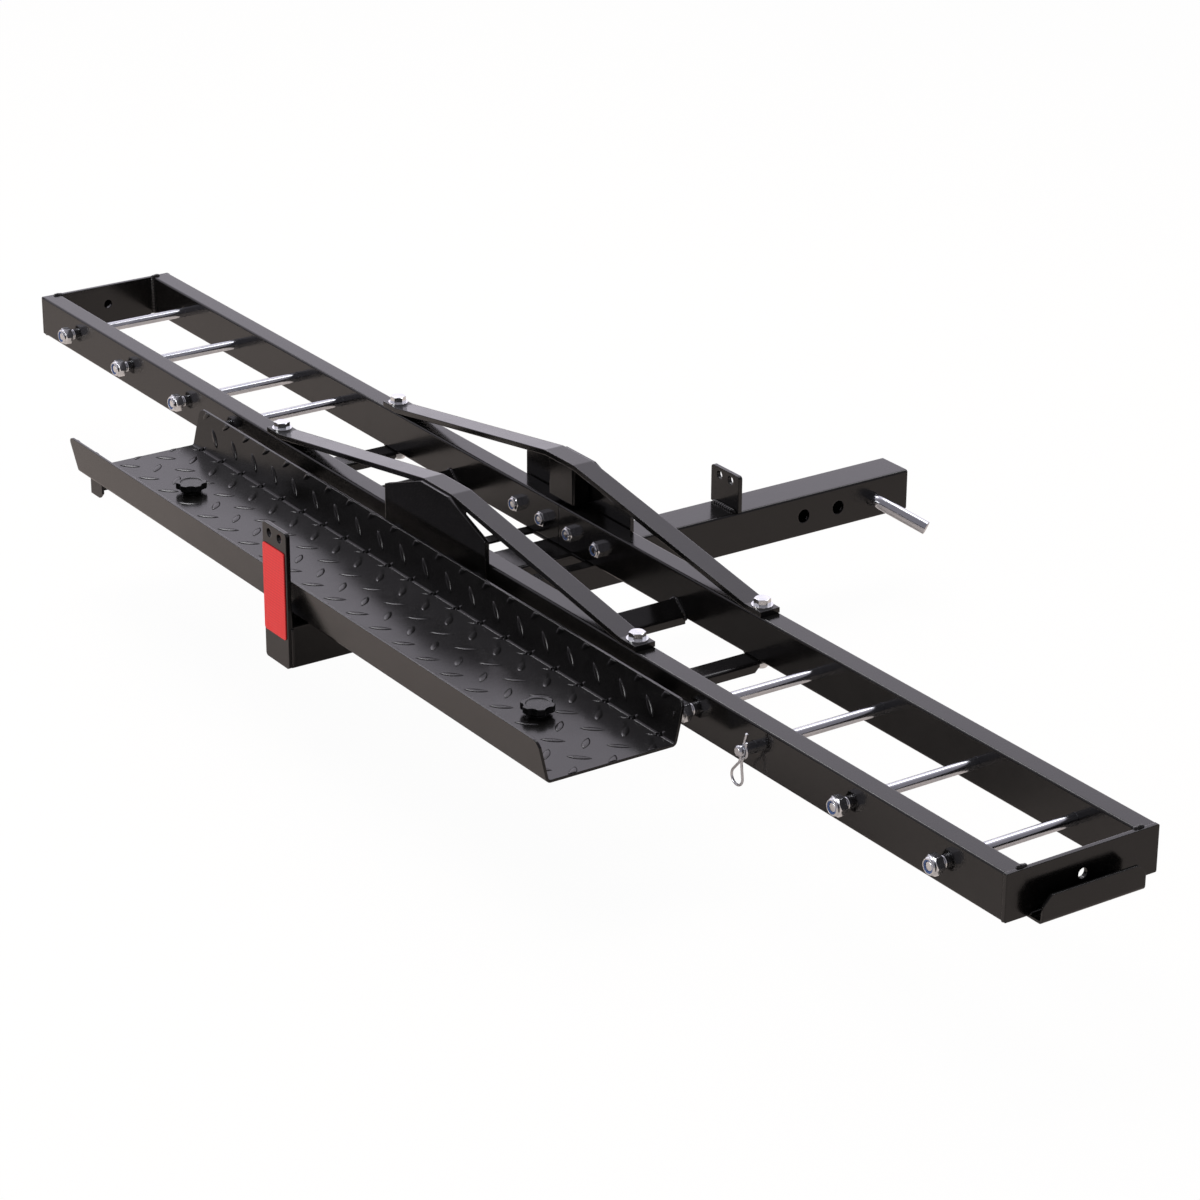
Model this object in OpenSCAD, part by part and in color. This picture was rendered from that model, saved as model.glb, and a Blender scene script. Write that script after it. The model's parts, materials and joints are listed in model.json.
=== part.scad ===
// Hitch-mounted motorcycle carrier with a bolted wheel track and a stowed loading ramp.
// Frame: X runs along the wheel track, Y points forwards into the receiver, Z is up.
// The origin is the middle of the hitch pin hole, on the axis of the hitch bar.

/* [Hitch bar] */
// Outside width and height of the square hitch bar
bar_w = 50; // [46:0.5:54]
// Wall thickness of the hitch bar
bar_wall = 4; // [3:0.5:6]
// Outside corner radius of the hitch bar
bar_corner = 3; // [2:0.5:8]
// Length of bar in front of the hitch pin
bar_nose = 52.5; // [40:0.5:70]
// Distance from the hitch pin back to the middle of the wheel track
bar_reach = 495; // [450:5:560]
// Diameter of the cross holes for the hitch pin
pin_hole_d = 16.5; // [16.3:0.1:18]
// Spacing of the cross holes
pin_hole_pitch = 50.5; // [40:0.5:60]
// Number of cross holes
pin_hole_count = 3; // [1:1:4]

/* [Hitch pin] */
// Diameter of the hitch pin
pin_d = 16; // [12:0.5:16]
// Straight length of pin outside the bar on the handle side
pin_stub = 9; // [4:1:14]
// Centre-line radius of the bend in the hitch pin
pin_bend_r = 16; // [13:1:24]
// Angle of the bend
pin_bend = 40; // [30:1:80]
// How far the handle is rolled down below level
pin_roll = 36; // [0:1:80]
// Straight length of the handle
pin_grip = 57; // [40:1:90]
// Length of pin outside the bar on the clip side
pin_tail = 20; // [16:1:30]
// Wire diameter of the clip on the hitch pin
pin_clip_wire = 3.5; // [2.5:0.1:4]

/* [Light bracket] */
// Width of the light bracket
light_w = 54; // [50:1:80]
// Height of the light bracket
light_h = 45; // [35:1:70]
// Thickness of the light bracket
light_t = 5; // [3:0.5:8]
// Distance from the hitch pin back to the light bracket
light_set = 193; // [170:1:240]
// Diameter of the two holes in the light bracket
light_hole_d = 10; // [6:0.5:12]
// Spacing of the two holes in the light bracket
light_hole_pitch = 21.5; // [16:0.5:30]
// Depth of the holes below the top edge of the light bracket
light_hole_drop = 9; // [8:0.5:14]

/* [Rear plate] */
// Height of the rear plate above the hitch bar
rear_rise = 107; // [90:1:140]
// Thickness of the rear plate
rear_t = 5; // [3:0.5:8]
// Diameter of the two holes in the rear plate
rear_hole_d = 10; // [6:0.5:12]
// Spacing of the two holes in the rear plate
rear_hole_pitch = 21.5; // [16:0.5:28]
// Depth of the holes below the top edge of the rear plate
rear_hole_drop = 9.5; // [8:0.5:14]
// Width of the reflector
reflector_w = 45; // [30:1:46]
// Bare plate above the reflector, from the top edge
reflector_drop = 23.5; // [20:0.5:40]
// Bare plate below the reflector, from the bottom edge
reflector_rise = 33; // [20:1:60]
// Thickness of the reflector
reflector_t = 1.2; // [0.6:0.1:3]

/* [Wheel track] */
// Overall length of the track over its end plates
track_len = 1940; // [1800:10:2100]
// Width of the track over its rails
track_w = 184; // [170:1:220]
// Width of a rail
rail_w = 25; // [20:1:30]
// Height of a rail
rail_h = 50; // [40:1:60]
// Wall thickness of a rail
rail_wall = 2.5; // [2:0.5:4]
// Outside corner radius of a rail
rail_corner = 2.5; // [1.5:0.5:6]
// Gap between the two halves of the track
joint_gap = 1; // [0.2:0.1:2]
// Thickness of an end plate
end_t = 5; // [3:0.5:8]
// Diameter of the hole in an end plate
end_hole_d = 11; // [9:0.5:14]
// Distances of the rungs from the end of the track
rung_set = [89, 235, 384, 489];
// Diameter of a rung bolt
rung_d = 12; // [10:0.5:14]
// Distance from the front rail to the nut of a rung bolt
rung_stand = 6; // [1:0.5:8]

/* [Saddle and gussets] */
// Thickness of the saddle plate between bar and rails
saddle_t = 3; // [3:0.5:8]
// Length of the saddle plate along the track
saddle_len = 138; // [120:1:180]
// Width of the strip left at each end of the saddle plate
saddle_strip = 16; // [12:1:22]
// Length of a gusset
gusset_len = 208; // [190:1:240]
// Thickness of a gusset
gusset_t = 5; // [3:0.5:8]
// Height of a gusset's upright end above the rail
gusset_shoulder = 27; // [16:1:36]
// Length of the flat top of the arch
peak_len = 57; // [44:1:70]
// Height of the arch top above the rail
peak_rise = 56.5; // [46:0.5:70]
// Depth of the gusset's top edge below the top of the strap
gusset_drop = 2; // [1:0.5:4]
// Thickness of an arch strap
strap_t = 6; // [3:0.5:8]
// Width of a spacer along the track
spacer_len = 50; // [40:1:54]
// Depth of a spacer across the track
spacer_w = 22.5; // [18:0.5:25]
// Height of the spacer's foot above the rail
spacer_lift = 6; // [2:1:12]
// Wall thickness of a spacer
spacer_wall = 3; // [2:0.5:5]
// Diameter of the splice and arch bolts
bolt_d = 10; // [8:0.5:12]
// Distance from the track joint to the first splice bolt
splice_set = 27.5; // [20:0.5:32]
// Spacing of the splice bolts
splice_pitch = 55; // [48:0.5:62]

/* [Cross ties and support bars] */
// Distance from the middle of the track to a cross tie
tie_set = 228; // [200:1:300]
// Half width of a cross tie
tie_half = 18; // [14:1:26]
// Height of the cross tie's ridge above the bottom of the rail
tie_ridge = 18.5; // [12:0.5:26]
// Slope of the cross tie's top
tie_slope = 40; // [20:1:50]
// Depth of the cross tie's lips below the bottom of the rail
tie_drop = 6; // [0:0.5:12]
// Sheet thickness of a cross tie
tie_t = 3; // [2:0.5:4]
// Distance from the middle of the track to an arch bolt and support bar
support_set = 366; // [340:1:380]
// Width of a support bar
support_w = 30; // [26:1:36]
// Height of a support bar
support_h = 11.5; // [10:0.5:16]
// Sheet thickness of a support bar
support_t = 3; // [2:0.5:4]
// Chamfer at the back end of a support bar's flanges
support_chamfer = 6; // [1:0.5:7]

/* [Ramp] */
// Length of the ramp
ramp_len = 1000; // [900:10:1100]
// Width of the ramp over the foot of its side walls
ramp_foot_w = 154.5; // [140:0.5:166]
// Width of the ramp over the top of its side walls
ramp_top_w = 176.5; // [170:0.5:200]
// Height of the ramp
ramp_h = 47.5; // [36:0.5:60]
// Sheet thickness of the ramp
ramp_t = 3; // [2:0.5:4]
// Inside bend radius of the ramp
ramp_bend_r = 3; // [1:0.5:6]
// Corner radius at the ends of the side walls
ramp_nose_r = 9; // [3:0.5:14]
// Gap between the rail and the top of the ramp wall
ramp_gap = 21.4; // [21:0.2:30]
// Gap between the ramp and the rear plate
ramp_rear_gap = 2; // [1:0.5:6]
// Distance from the end of the ramp to its hook
hook_set = 17.5; // [10:0.5:60]
// Length of the ramp hook under the floor
hook_len = 28; // [20:1:40]
// Depth of the ramp hook below the floor
hook_depth = 21; // [10:1:24]
// Sheet thickness of the ramp hook
hook_t = 3; // [2:0.5:4]
// Height of the raised tread
tread_h = 0.8; // [0.5:0.1:2]
// Length of a tread lug
tread_len = 27; // [20:1:34]
// Width of a tread lug
tread_w = 8.5; // [5:0.5:12]
// Spacing of the lugs that point the same way
tread_pitch = 47.6; // [42:0.2:56]

/* [Track end hooks] */
// Width of the J hook on the end plate
j_w = 124; // [90:1:130]
// Slot between the end plate and the J hook's lip
j_slot = 15; // [10:0.5:24]
// Height of the J hook's lip above the bottom of the rail
j_lip = 25.5; // [15:1:35]
// Sheet thickness of the J hook
j_t = 3; // [2.5:0.5:5]
// Chamfer at the top corners of the J hook's lip
j_chamfer = 10; // [3:1:14]

/* [Star knobs] */
// Diameter over the lobes
knob_d = 36; // [32:1:44]
// Number of lobes
knob_lobes = 6; // [5:1:8]
// Thickness of the star
knob_star_h = 7.5; // [6:0.5:12]
// Height of the hub under the star
knob_hub_h = 3.5; // [2:0.5:10]
// Diameter of the hub
knob_hub_d = 20; // [17:1:24]
// Diameter of the stud
stud_d = 10; // [8:0.5:12]
// How far the right knob is turned from the left one
knob_turn = 40; // [0:5:60]

/* [Wheel pin] */
// Diameter over the head of the wheel pin
wheel_head_d = 22; // [18:1:28]
// Thickness of the head of the wheel pin
wheel_head_h = 5; // [3:0.5:8]
// Length of wheel pin outside the rail on the clip side
wheel_tail = 21; // [18:1:30]
// Wire diameter of the clip on the wheel pin
wheel_clip_wire = 2.8; // [2:0.1:3.4]
// How far the clip on the wheel pin leans out of plumb
wheel_clip_lean = 17; // [0:1:40]

/* [Hidden] */
$fn = 48;

// Clearances between pieces
bolt_clear = 0.6;
turn_clear = 0.4;
thread_clear = 0.2;
rod_lap = 0.02;
bend_loss = 0.08;
// Main levels and planes worked out from the sizes above
track_y = -bar_reach;
rail_z = bar_w / 2 + saddle_t;
rail_top_z = rail_z + rail_h;
rail_mid_z = rail_z + rail_h / 2;
rail_mid_y = (track_w - rail_w) / 2;
inner_y = track_w / 2 - rail_w;
peak_z = rail_top_z + peak_rise;
ramp_y = track_y - track_w / 2 - ramp_gap - ramp_top_w / 2;
ramp_floor_z = rail_z + ramp_t;
bar_tail_y = ramp_y - ramp_top_w / 2 - ramp_rear_gap;
rear_top_z = bar_w / 2 + rear_rise;
wheel_pin_x = track_len / 2 - rung_set[2];
// Sizes of the hexagon fasteners, from the bolt diameters
rung_af = rung_d * 1.58;
rung_head_h = rung_d * 0.62;
bolt_af = bolt_d * 1.6;
bolt_head_h = bolt_d * 0.7;
nut_share = 0.76;
collar_share = 0.29;
ring_share = 1.14;
washer_d = bolt_d * 2.35;
washer_t = 2;
knob_washer_t = 1.5;
knob_washer_d = knob_hub_d + 2;
// The ramp's section: half of its flat floor, the slope of its walls and the length of their flat part
ramp_lean = (ramp_top_w - ramp_foot_w) / 2;
ramp_rise = atan2(ramp_h, ramp_lean);
ramp_tangent = (ramp_bend_r + ramp_t) * tan(ramp_rise / 2);
ramp_flat = ramp_foot_w / 2 - ramp_tangent;
ramp_wall = norm([ramp_lean, ramp_h]) - ramp_tangent;

steel_black = [0.11, 0.11, 0.12];
zinc = [0.78, 0.79, 0.82];
nylon_blue = [0.25, 0.4, 0.7];
reflector_red = [0.85, 0.12, 0.12];
plastic_black = [0.07, 0.07, 0.07];

// Small geometry helpers
function unit(v) = v / norm(v);
function fillet(a, p, b, r, n) =
    let (u = unit(a - p), w = unit(b - p), half = acos(u * w) / 2,
         centre = p + unit(u + w) * r / sin(half),
         s = p + u * r / tan(half) - centre, e = p + w * r / tan(half) - centre,
         start = atan2(s.y, s.x), turn = (atan2(e.y, e.x) - start + 540) % 360 - 180)
    [for (k = [0:n]) centre + r * [cos(start + turn * k / n), sin(start + turn * k / n)]];
function rounded(pts, r, n = 5) =
    [for (i = [0:len(pts) - 1])
        each fillet(pts[(i + len(pts) - 1) % len(pts)], pts[i], pts[(i + 1) % len(pts)], r, n)];
function oblong(w, h) = [[-w / 2, -h / 2], [w / 2, -h / 2], [w / 2, h / 2], [-w / 2, h / 2]];

// Wall of a rectangular tube, as a flat section
module tube_section(w, h, wall, corner) {
    difference() {
        polygon(rounded(oblong(w, h), corner, 6));
        polygon(rounded(oblong(w - 2 * wall, h - 2 * wall), max(corner - wall, 0.5), 4));
    }
}

// Stretches a section along X: its x becomes Y and its y becomes Z
module along_x(x0, length) {
    translate([x0, 0, 0]) rotate([90, 0, 90]) linear_extrude(length) children();
}

// Stretches a section along Y: its x stays X and its y becomes Z
module along_y(y0, length) {
    translate([0, y0 + length, 0]) rotate([90, 0, 0]) linear_extrude(length) children();
}

// Points and headings along the underside of a folded sheet or the middle of a bent wire;
// a step is [straight length, bend radius inside the sheet, turn]
function fold_path(steps, thick, dir = 0, at = [0, 0], i = 0) =
    i == len(steps) ? [[at, dir]] :
    let (run = steps[i][0], turn = steps[i][2], r = steps[i][1] + (turn > 0 ? thick : 0),
         corner = at + run * [cos(dir), sin(dir)],
         centre = corner + sign(turn) * r * [-sin(dir), cos(dir)],
         n = ceil(abs(turn) / 15),
         arc = turn == 0 ? [] :
             [for (k = [0:n]) let (a = dir + turn * k / n) [centre + sign(turn) * r * [sin(a), -cos(a)], a]])
    concat([[at, dir]], turn == 0 ? [] : [for (k = [0:n - 1]) arc[k]],
           fold_path(steps, thick, dir + turn, turn == 0 ? corner : arc[n][0], i + 1));

// Folded sheet as a flat section, starting along x
module folded_strip(steps, thick) {
    path = fold_path(steps, thick);
    polygon(concat([for (p = path) p[0]],
        [for (i = [len(path) - 1:-1:0]) path[i][0] + thick * [-sin(path[i][1]), cos(path[i][1])]]));
}

// Folded sheet that is the same on both sides of x = 0, starting at the heading dir
module folded_pair(steps, thick, dir = 0) {
    path = fold_path(steps, thick, dir);
    last = len(path) - 1;
    low = [for (p = path) p[0]];
    high = [for (i = [0:last]) i == 0 ? [0, thick / cos(dir)] :
        path[i][0] + thick * [-sin(path[i][1]), cos(path[i][1])]];
    polygon(concat(low, [for (i = [last:-1:0]) high[i]], [for (i = [1:last]) [-high[i].x, high[i].y]],
        [for (i = [last:-1:1]) [-low[i].x, low[i].y]]));
}

// Bent round rod that starts along X; a step is [straight length, centre-line radius, turn].
// A bend is a hair slimmer than the straight rod, as cold bending leaves it.
module bent_rod(steps, d, i = 0) {
    if (i < len(steps)) {
        run = steps[i][0];
        r = steps[i][1];
        turn = steps[i][2];
        side = turn < 0 ? -1 : 1;
        translate([-rod_lap, 0, 0]) rotate([0, 90, 0]) cylinder(d = d, h = run + 2 * rod_lap);
        if (turn != 0) {
            translate([run, side * r, 0]) {
                mirror([0, turn < 0 ? 1 : 0, 0]) rotate([0, 0, -90])
                    rotate_extrude(angle = abs(turn)) translate([r, 0]) circle(d = d - bend_loss);
                rotate([0, 0, turn]) translate([0, -side * r, 0]) bent_rod(steps, d, i + 1);
            }
        }
    }
}

// Hexagon with the corners of its far end turned off
module hex_block(af, h) {
    intersection() {
        cylinder(d = af / cos(30), h = h, $fn = 6);
        cylinder(r1 = af * 0.475 + h * tan(60), r2 = af * 0.475, h = h);
    }
}

// Hexagon bolt: the head stands on the XY plane and the shank hangs below it.
// The thread at its end is slightly thinner, and the nut stops where the thread does.
module hex_bolt(d, shank, thread, af, head_h) {
    tip = d * 0.1;
    thread_d = d - 2 * thread_clear;
    hex_block(af, head_h);
    translate([0, 0, -shank]) cylinder(d = d, h = shank);
    translate([0, 0, -shank - thread + tip]) cylinder(d = thread_d, h = thread - tip);
    translate([0, 0, -shank - thread]) cylinder(d1 = d * 0.8, d2 = thread_d, h = tip);
}

// Lock nut: hexagon foot with a round collar that holds a nylon ring
module lock_nut(d, af) {
    foot = d * nut_share;
    collar = d * collar_share;
    difference() {
        union() {
            hex_block(af, foot);
            translate([0, 0, foot]) cylinder(d = af * 0.94, h = collar * 0.6);
            translate([0, 0, foot + collar * 0.6]) cylinder(d1 = af * 0.94, d2 = af * 0.84, h = collar * 0.4);
        }
        translate([0, 0, -1]) cylinder(d = d - thread_clear, h = foot + collar + 2);
        translate([0, 0, foot]) cylinder(d = d * ring_share, h = collar + 1);
    }
}

// Nylon ring inside the collar of a lock nut; the bolt ends below it
module nylon_ring(d) {
    translate([0, 0, d * nut_share]) difference() {
        cylinder(d = d * ring_share, h = d * collar_share * 0.8);
        translate([0, 0, -1]) cylinder(d = d * 0.86, h = d + 2);
    }
}

// Spring clip in the XY plane, pushed through a pin at the origin, with its drop-shaped eye towards -X
module spring_clip(pin, wire) {
    eye_r = wire * 3.2;
    ease_r = wire * 2.14;
    ease = 25;
    tick = 0.3;
    gap = wire + 0.4;
    flank = (eye_r * cos(ease) - ease_r * (1 - cos(ease)) - gap / 2) / sin(ease);
    leg = pin / 2 + wire * 5.3;
    back = pin / 2 + wire * 2.75;
    hug_r = pin / 2 + wire / 2 + 0.3;
    swing = acos((gap + ease_r) / (ease_r + hug_r));
    straight = back - (ease_r + hug_r) * sin(swing) - tick * cos(swing);
    translate([leg, 0, 0]) mirror([1, 0, 0]) bent_rod([
        [leg + back, ease_r, -ease],
        [flank, eye_r, 180 + 2 * ease],
        [flank, ease_r, -ease],
        [straight, ease_r, -swing],
        [tick, hug_r, 2 * swing],
        [tick, ease_r, -swing],
        [wire / 2, 0, 0]
    ], wire);
}

// Hitch bar, with cross holes at the nose
module hitch_bar() {
    color(steel_black) difference() {
        along_y(bar_tail_y, bar_nose - bar_tail_y) tube_section(bar_w, bar_w, bar_wall, bar_corner);
        for (i = [0:pin_hole_count - 1])
            translate([-bar_w, -i * pin_hole_pitch, 0]) rotate([0, 90, 0])
                cylinder(d = pin_hole_d, h = 2 * bar_w);
    }
}

// Plate welded on the bar, with two windows between the rails
module saddle_plate() {
    half_y = track_w / 2 + gusset_t;
    window = saddle_len / 2 - saddle_strip - bar_w / 2;
    color(steel_black) difference() {
        translate([-saddle_len / 2, track_y - half_y, bar_w / 2]) cube([saddle_len, 2 * half_y, saddle_t]);
        for (side = [-1, 1])
            translate([side * (bar_w + window) / 2, track_y, bar_w / 2 + saddle_t / 2])
                cube([window, 2 * inner_y, 2 * saddle_t], center = true);
    }
}

// Upright plate with two holes near its top edge, facing along Y
module holed_plate(w, foot_z, top_z, y0, t, hole_d, pitch, drop, foot_r) {
    head_r = 4;
    difference() {
        along_y(y0, t) union() {
            translate([0, (foot_z + top_z) / 2]) polygon(rounded(oblong(w, top_z - foot_z), head_r));
            translate([0, foot_z + 2 * foot_r]) polygon(rounded(oblong(w, 4 * foot_r), foot_r));
        }
        for (side = [-1, 1])
            translate([side * pitch / 2, y0 - 1, top_z - drop]) rotate([-90, 0, 0])
                cylinder(d = hole_d, h = t + 2);
    }
}

module light_bracket() {
    color(steel_black)
        holed_plate(light_w, bar_w / 2, bar_w / 2 + light_h, -light_set - light_t, light_t,
                    light_hole_d, light_hole_pitch, light_hole_drop, 1);
}

module rear_plate() {
    color(steel_black)
        holed_plate(bar_w, -bar_w / 2, rear_top_z, bar_tail_y - rear_t, rear_t,
                    rear_hole_d, rear_hole_pitch, rear_hole_drop, 4);
}

module reflector() {
    low = -bar_w / 2 + reflector_rise;
    high = rear_top_z - reflector_drop;
    color(reflector_red) along_y(bar_tail_y - rear_t - reflector_t, reflector_t)
        translate([-1.5, (low + high) / 2]) polygon(rounded(oblong(reflector_w, high - low), 3));
}

// Half a rail; side is -1 left or 1 right, row is -1 front or 1 back
module rail(side, row) {
    length = track_len / 2 - end_t - joint_gap / 2;
    color(steel_black) mirror([side < 0 ? 1 : 0, 0, 0]) difference() {
        translate([0, track_y + row * rail_mid_y, rail_mid_z])
            along_x(joint_gap / 2, length) tube_section(rail_w, rail_h, rail_wall, rail_corner);
        for (set = rung_set)
            cross_hole(track_len / 2 - set, row, rung_d + turn_clear);
        for (x = [splice_set, splice_set + splice_pitch])
            cross_hole(x, row, bolt_d + bolt_clear);
        translate([support_set, track_y + row * rail_mid_y, rail_z - 1])
            cylinder(d = bolt_d + bolt_clear, h = rail_h + 2);
    }
}

// Hole along Y through both walls of a rail and what lies against it
module cross_hole(x, row, d) {
    translate([x, track_y + row * rail_mid_y, rail_mid_z]) rotate([90, 0, 0])
        cylinder(d = d, h = 2 * rail_w + 2 * gusset_t, center = true);
}

module end_plate(side) {
    color(steel_black) mirror([side < 0 ? 1 : 0, 0, 0]) difference() {
        translate([0, track_y, rail_mid_z])
            along_x(track_len / 2 - end_t, end_t) polygon(rounded(oblong(track_w, rail_h), 1.5, 3));
        translate([track_len / 2 - end_t - 1, track_y, rail_mid_z]) rotate([0, 90, 0])
            cylinder(d = end_hole_d, h = end_t + 2);
    }
}

// J hook welded under the end plate, open at the top to take the ramp
module end_hook(side) {
    bend_r = 2;
    run = end_t + j_slot - bend_r;
    color(steel_black) mirror([side < 0 ? 1 : 0, 0, 0]) difference() {
        along_y(track_y - j_w / 2, j_w) translate([track_len / 2 - end_t, rail_z - j_t])
            folded_strip([[run, bend_r, 90], [j_lip - bend_r, 0, 0]], j_t);
        for (y = [-1, 1])
            translate([track_len / 2 + j_slot + j_t / 2, track_y + y * j_w / 2, rail_z + j_lip])
                rotate([45, 0, 0]) cube([3 * j_t, j_chamfer * sqrt(2), j_chamfer * sqrt(2)], center = true);
    }
}

// Gusset plate on the outer face of both half rails
module gusset(row) {
    top = peak_z - gusset_drop;
    half = gusset_len / 2;
    shoulder = rail_top_z + gusset_shoulder;
    y0 = row > 0 ? track_y + track_w / 2 : track_y - track_w / 2 - gusset_t;
    outline = [[-half, rail_z], [half, rail_z], [half, shoulder], [peak_len / 2, top],
               [-peak_len / 2, top], [-half, shoulder]];
    color(steel_black) difference() {
        along_y(y0, gusset_t) polygon(rounded(outline, 2, 3));
        for (side = [-1, 1], x = [splice_set, splice_set + splice_pitch])
            cross_hole(side * x, row, bolt_d + bolt_clear);
    }
}

// Short upright tube welded inside the gusset, under the strap
module spacer(row) {
    foot = rail_top_z + spacer_lift;
    color(steel_black) translate([0, track_y + row * (track_w - spacer_w) / 2, foot])
        linear_extrude(peak_z - strap_t - foot) tube_section(spacer_len, spacer_w, spacer_wall, 3);
}

// Arch strap over a rail: bolted flat ends, straight slopes and a flat top
module arch_strap(row) {
    bend_r = 6;
    end_x = support_set + 14;
    foot_x = support_set - 14;
    rise = peak_z - strap_t - rail_top_z;
    slope = atan2(rise, foot_x - peak_len / 2);
    near = bend_r * tan(slope / 2);
    far = (bend_r + strap_t) * tan(slope / 2);
    y0 = track_y + row * rail_mid_y - rail_w / 2;
    steps = [[peak_len / 2 - near, bend_r, -slope],
             [rise / sin(slope) - near - far, bend_r, slope],
             [end_x - foot_x - far, 0, 0]];
    color(steel_black) difference() {
        along_y(y0, rail_w) translate([0, peak_z - strap_t]) folded_pair(steps, strap_t);
        for (side = [-1, 1])
            translate([side * support_set, track_y + row * rail_mid_y, rail_top_z - 1])
                cylinder(d = bolt_d + bolt_clear, h = strap_t + 2);
    }
}

// Places its children on the four arch bolt axes
module at_arch_bolts(z) {
    for (side = [-1, 1], row = [-1, 1])
        translate([side * support_set, track_y + row * rail_mid_y, z]) children();
}

module arch_bolts() {
    grip = washer_t + strap_t + rail_h + support_t;
    color(zinc) at_arch_bolts(rail_top_z + strap_t + washer_t)
        hex_bolt(bolt_d, grip, bolt_d * nut_share, bolt_af, bolt_head_h);
}

module arch_washers() {
    color(zinc) at_arch_bolts(rail_top_z + strap_t) difference() {
        cylinder(d = washer_d, h = washer_t);
        translate([0, 0, -1]) cylinder(d = bolt_d + bolt_clear, h = washer_t + 2);
    }
}

module arch_nuts() {
    color(zinc) at_arch_bolts(rail_z - support_t) rotate([180, 0, 0]) lock_nut(bolt_d, bolt_af);
}

// Places its children on the splice bolt axes, with their +Z pointing outwards or inwards
module at_splice_bolts(y, outwards) {
    for (side = [-1, 1], row = [-1, 1], x = [splice_set, splice_set + splice_pitch])
        translate([side * x, track_y + row * y, rail_mid_z])
            rotate([(outwards ? -90 : 90) * row, 0, 0]) children();
}

module splice_bolts() {
    color(zinc) at_splice_bolts(track_w / 2 + gusset_t, true)
        hex_bolt(bolt_d, gusset_t + rail_w, bolt_d * nut_share, bolt_af, bolt_head_h);
}

module splice_nuts() {
    color(zinc) at_splice_bolts(inner_y, false) lock_nut(bolt_d, bolt_af);
}

module splice_nut_rings() {
    color(nylon_blue) at_splice_bolts(inner_y, false) nylon_ring(bolt_d);
}

// Places its children on the rung axes, leaving out the one that the wheel pin takes
module at_rungs(row) {
    for (side = [-1, 1], set = rung_set)
        if (side * (track_len / 2 - set) != wheel_pin_x)
            translate([side * (track_len / 2 - set), track_y + row * track_w / 2, rail_mid_z])
                rotate([-90 * row, 0, 0]) children();
}

module rung_bolts() {
    color(zinc) at_rungs(1)
        hex_bolt(rung_d, track_w + rung_stand, rung_d * nut_share, rung_af, rung_head_h);
}

module rung_nuts() {
    color(zinc) at_rungs(-1) translate([0, 0, rung_stand]) lock_nut(rung_d, rung_af);
}

module rung_nut_rings() {
    color(nylon_blue) at_rungs(-1) translate([0, 0, rung_stand]) nylon_ring(rung_d);
}

// Folded tie between the rails of one half, with a ridge along its middle
module cross_tie(side) {
    bend_r = 2;
    run = (tie_half - tie_t - bend_r * (1 - sin(tie_slope))) / cos(tie_slope);
    ridge_z = rail_z + tie_ridge - tie_t / cos(tie_slope);
    lip_top = ridge_z - run * sin(tie_slope) - bend_r * cos(tie_slope);
    half = [[run, bend_r, tie_slope - 90], [lip_top - rail_z + tie_drop, 0, 0]];
    color(steel_black) translate([side * tie_set, 0, 0]) along_y(track_y - inner_y, 2 * inner_y)
        translate([0, ridge_z]) folded_pair(half, tie_t, -tie_slope);
}

// Inverted channel under both rails, running forwards below the ramp
module support_bar(side) {
    bend_r = 1;
    front_y = ramp_y - 23;
    back_y = track_y + track_w / 2;
    half = [[support_w / 2 - support_t - bend_r, bend_r, -90], [support_h - support_t - bend_r, 0, 0]];
    // The flanges end at the back rail, below which only the top is left
    end_y = track_y + inner_y;
    flange_z = rail_z - support_t;
    low_z = rail_z - support_h;
    cut = [[end_y, flange_z], [end_y + 2 * rail_w, flange_z], [end_y + 2 * rail_w, low_z - support_h],
           [end_y - support_chamfer - support_h, low_z - support_h], [end_y, low_z + support_chamfer]];
    color(steel_black) translate([side * support_set, 0, 0]) difference() {
        along_y(front_y, back_y - front_y) translate([0, rail_z - support_t]) folded_pair(half, support_t);
        along_x(-support_w, 2 * support_w) polygon(cut);
        for (y = [track_y - rail_mid_y, track_y + rail_mid_y])
            translate([0, y, rail_z - 2 * support_t]) cylinder(d = bolt_d + bolt_clear, h = 3 * support_t);
        translate([0, ramp_y, rail_z - 2 * support_t]) cylinder(d = stud_d + 1, h = 3 * support_t);
    }
}

// Places its children on the two knob axes
module at_knob(side, z) {
    translate([side * support_set, ramp_y, z]) children();
}

module knob_weld_nuts() {
    nut_h = stud_d * 0.8;
    color(zinc) for (side = [-1, 1])
        at_knob(side, rail_z - support_t - nut_h) difference() {
            hex_block(stud_d * 1.7, nut_h);
            translate([0, 0, -1]) cylinder(d = stud_d + thread_clear, h = nut_h + 2);
        }
}

module hitch_pin() {
    start = -bar_w / 2 - pin_tail;
    tip = 3;
    steps = [[bar_w + pin_tail + pin_stub - tip, pin_bend_r, pin_bend], [pin_grip, 0, 0]];
    color(zinc) difference() {
        union() {
            translate([start + tip, 0, 0]) rotate([-pin_roll, 0, 0]) bent_rod(steps, pin_d);
            // Chamfered tip, with a core that runs on into the rod
            translate([start, 0, 0]) rotate([0, 90, 0]) {
                cylinder(d1 = pin_d * 0.7, d2 = pin_d - 0.5, h = tip);
                translate([0, 0, tip / 2]) cylinder(d = pin_d * 0.7, h = 2 * tip);
            }
        }
        translate([-bar_w / 2 - pin_tail / 2, 0, 0]) rotate([90, 0, 0])
            cylinder(d = pin_clip_wire + thread_clear, h = 2 * pin_d, center = true);
    }
}

module hitch_clip() {
    color(zinc) translate([-bar_w / 2 - pin_tail / 2, 0, 0])
        rotate([-90, 0, 0]) rotate([0, 90, 0]) spring_clip(pin_d, pin_clip_wire);
}

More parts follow.
